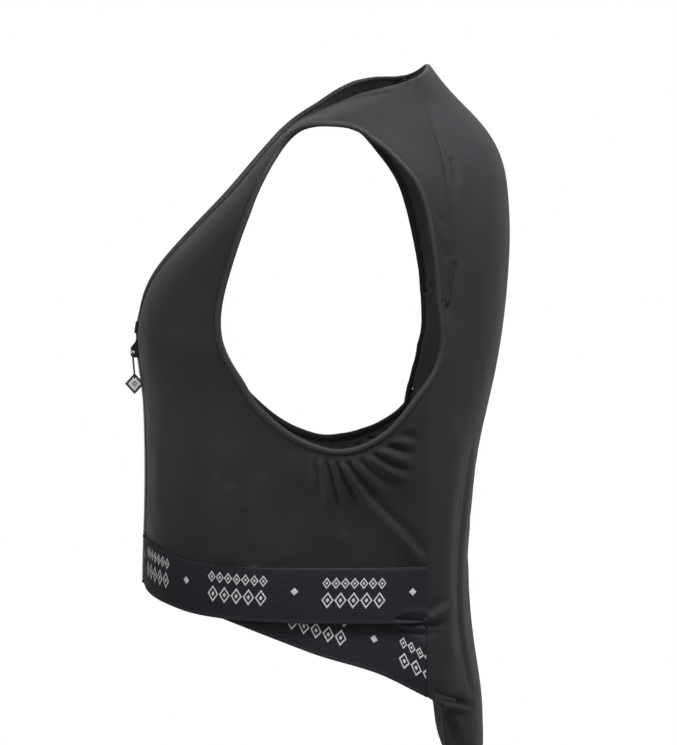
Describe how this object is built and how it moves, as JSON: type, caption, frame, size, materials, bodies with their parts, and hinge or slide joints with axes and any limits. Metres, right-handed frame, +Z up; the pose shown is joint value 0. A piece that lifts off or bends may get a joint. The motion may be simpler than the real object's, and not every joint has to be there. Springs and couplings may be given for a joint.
{
  "type": "riding body protector",
  "caption": "Close-fitting zip-front stretch vest with a padded back panel and tail, deep armholes and two elastic waist bands, shown in its worn shape.",
  "frame": {"origin": "in the middle of the wearer's shoulders, level with the side of the neck opening, where the shoulders carry the garment", "axes": "+Z up along the wearer's spine, -Y the way the wearer faces, +X to the wearer's left"},
  "size_m": [0.2912, 0.3025, 0.5854],
  "materials": {
    "back_fabric": "smooth knit",
    "front_fabric": "stretch knit",
    "binding_fabric": "flat elastic",
    "elastic": "ribbed elastic with a woven light pattern",
    "tape": "woven tape",
    "teeth": "satin",
    "slider": "black satin",
    "cord": "braided",
    "tag": "matt, light grey with a dark edge"
  },
  "bodies": {
    "root": {"back_panel": "back_fabric", "front_panel_left": "front_fabric", "front_panel_right": "front_fabric", "armhole_binding_left": "binding_fabric", "armhole_binding_right": "binding_fabric", "neck_binding_left": "binding_fabric", "neck_binding_right": "binding_fabric", "waistband_left": "elastic", "waistband_right": "elastic", "kidney_belt_left": "elastic", "kidney_belt_right": "elastic", "zip_tape_left": "tape", "zip_tape_right": "tape", "zip_teeth": "teeth", "zip_slider": "slider", "zip_pull_cord": "cord", "zip_tag": "tag"}
  },
  "joints": []
}
